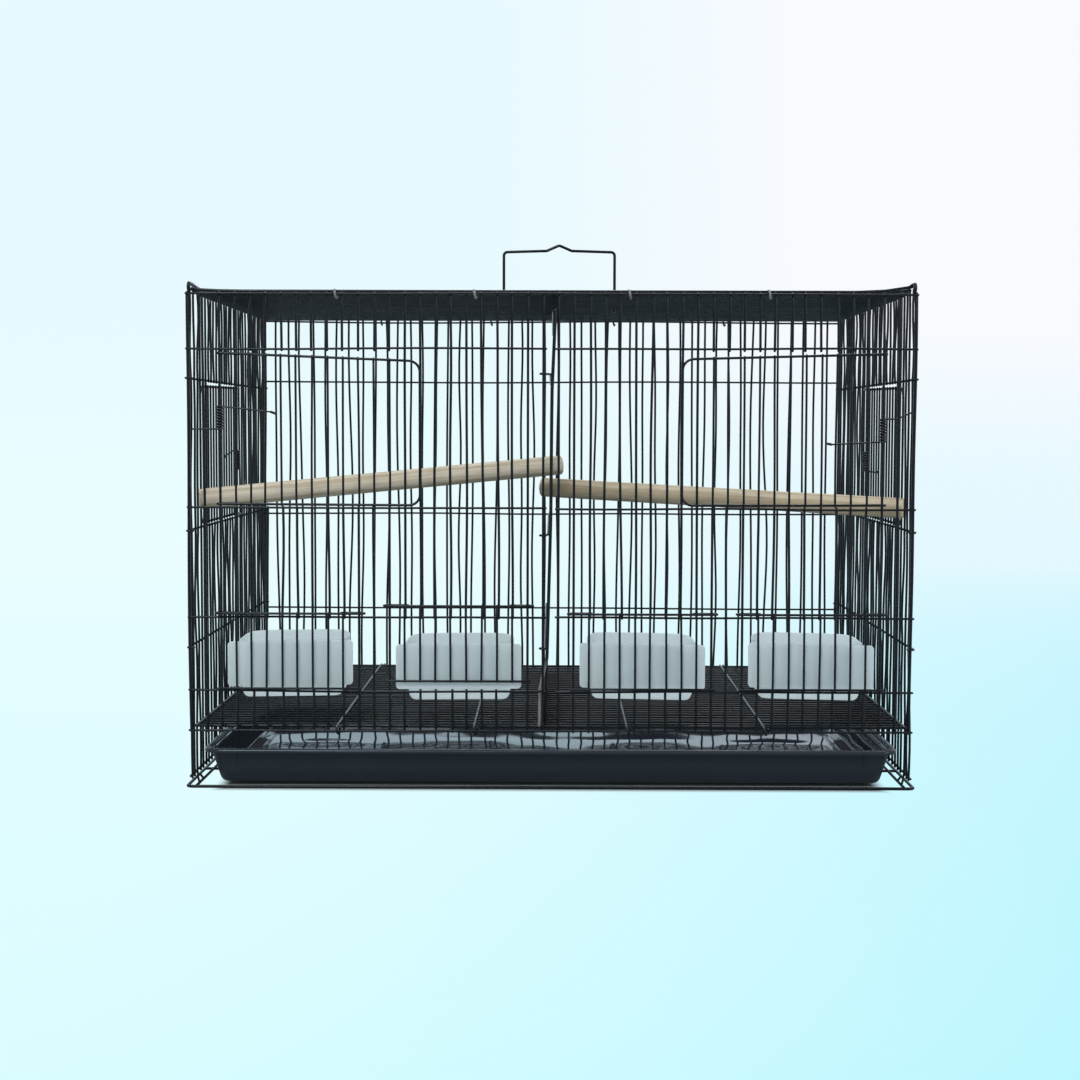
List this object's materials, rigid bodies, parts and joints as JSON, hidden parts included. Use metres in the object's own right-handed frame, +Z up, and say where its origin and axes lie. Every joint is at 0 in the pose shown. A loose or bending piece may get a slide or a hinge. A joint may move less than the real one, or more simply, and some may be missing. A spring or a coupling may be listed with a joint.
{
  "type": "bird cage",
  "caption": "Folding two-compartment wire bird cage with hinged and sliding doors, seed cups, perches, divider, wire floor and pull-out tray.",
  "frame": {"origin": "on the surface the cage stands on, under the middle of its bounding box", "axes": "+Z up, the front with the feeder doors faces -Y, +X to the right of someone facing the front"},
  "size_m": [0.609, 0.407, 0.4713],
  "materials": {
    "black_wire": "satin black powder coat on steel wire",
    "spring_steel": "blackened spring wire",
    "tray_plastic": "glossy moulded dark grey plastic",
    "cup_plastic": "milky translucent moulded plastic",
    "pale_wood": "bare turned softwood"
  },
  "bodies": {
    "cage_body": {"front_panel": "black_wire", "back_panel": "black_wire", "left_side_panel": "black_wire", "right_side_panel": "black_wire", "top_panel": "black_wire", "floor_grate": "black_wire", "divider": "black_wire", "base_frame": "black_wire", "left_front_spring": "spring_steel", "right_front_spring": "spring_steel", "left_nest_spring": "spring_steel", "right_nest_spring": "spring_steel"},
    "pull_tray": {"tray": "tray_plastic"},
    "bail": {"handle": "black_wire"},
    "front_door_left": {"left_front_door": "black_wire"},
    "front_door_right": {"right_front_door": "black_wire"},
    "nest_door_left": {"left_nest_door": "black_wire"},
    "nest_door_right": {"right_nest_door": "black_wire"},
    "hatch_1": {"feeder_door_1": "black_wire"},
    "hatch_2": {"feeder_door_2": "black_wire"},
    "hatch_3": {"feeder_door_3": "black_wire"},
    "hatch_4": {"feeder_door_4": "black_wire"},
    "cup_1": {"seed_cup_1": "cup_plastic"},
    "cup_2": {"seed_cup_2": "cup_plastic"},
    "cup_3": {"seed_cup_3": "cup_plastic"},
    "cup_4": {"seed_cup_4": "cup_plastic"},
    "perch_left": {"left_perch": "pale_wood"},
    "perch_right": {"right_perch": "pale_wood"}
  },
  "joints": [
    {"name": "tray_slide", "type": "slide", "parent": "cage_body", "child": "pull_tray", "axis": [0, -1, 0], "range_m": [0, 0.38]},
    {"name": "handle_swing", "type": "hinge", "parent": "cage_body", "child": "bail", "pos_m": [0.007, -0.00599, 0.41109], "axis": [1, 0, 0], "range_deg": [-85, 58]},
    {"name": "left_front_door_hinge", "type": "hinge", "parent": "cage_body", "child": "front_door_left", "pos_m": [-0.27305, -0.19649, 0.2995], "axis": [0, 0, -1], "range_deg": [0, 120], "stiffness_Nm_per_rad": 0.02, "springref_deg": -28.65, "deforming": ["left_front_spring"]},
    {"name": "right_front_door_hinge", "type": "hinge", "parent": "cage_body", "child": "front_door_right", "pos_m": [0.27305, -0.19649, 0.2995], "axis": [0, 0, 1], "range_deg": [0, 120], "stiffness_Nm_per_rad": 0.02, "springref_deg": -28.65, "deforming": ["right_front_spring"]},
    {"name": "left_nest_door_hinge", "type": "hinge", "parent": "cage_body", "child": "nest_door_left", "pos_m": [-0.29905, 0.03211, 0.278], "axis": [0, 0, -1], "range_deg": [0, 120], "stiffness_Nm_per_rad": 0.02, "springref_deg": -28.65, "deforming": ["left_nest_spring"]},
    {"name": "right_nest_door_hinge", "type": "hinge", "parent": "cage_body", "child": "nest_door_right", "pos_m": [0.29905, 0.03211, 0.278], "axis": [0, 0, 1], "range_deg": [0, 120], "stiffness_Nm_per_rad": 0.02, "springref_deg": -28.65, "deforming": ["right_nest_spring"]},
    {"name": "feeder_door_1_lift", "type": "slide", "parent": "cage_body", "child": "hatch_1", "axis": [0, 0, 1], "range_m": [0, 0.062]},
    {"name": "feeder_door_2_lift", "type": "slide", "parent": "cage_body", "child": "hatch_2", "axis": [0, 0, 1], "range_m": [-0.0065, 0.0555]},
    {"name": "feeder_door_3_lift", "type": "slide", "parent": "cage_body", "child": "hatch_3", "axis": [0, 0, 1], "range_m": [0, 0.062]},
    {"name": "feeder_door_4_lift", "type": "slide", "parent": "cage_body", "child": "hatch_4", "axis": [0, 0, 1], "range_m": [0, 0.062]},
    {"name": "seed_cup_1_lift", "type": "slide", "parent": "cage_body", "child": "cup_1", "axis": [0, 0, 1], "range_m": [0, 0.01]},
    {"name": "seed_cup_2_lift", "type": "slide", "parent": "cage_body", "child": "cup_2", "axis": [0, 0, 1], "range_m": [0, 0.01]},
    {"name": "seed_cup_3_lift", "type": "slide", "parent": "cage_body", "child": "cup_3", "axis": [0, 0, 1], "range_m": [0, 0.01]},
    {"name": "seed_cup_4_lift", "type": "slide", "parent": "cage_body", "child": "cup_4", "axis": [0, 0, 1], "range_m": [0, 0.01]},
    {"name": "left_perch_height", "type": "slide", "parent": "cage_body", "child": "perch_left", "axis": [0, 0, 1], "range_m": [-0.004, 0.055]},
    {"name": "right_perch_height", "type": "slide", "parent": "cage_body", "child": "perch_right", "axis": [0, 0, 1], "range_m": [-0.004, 0.055]}
  ]
}
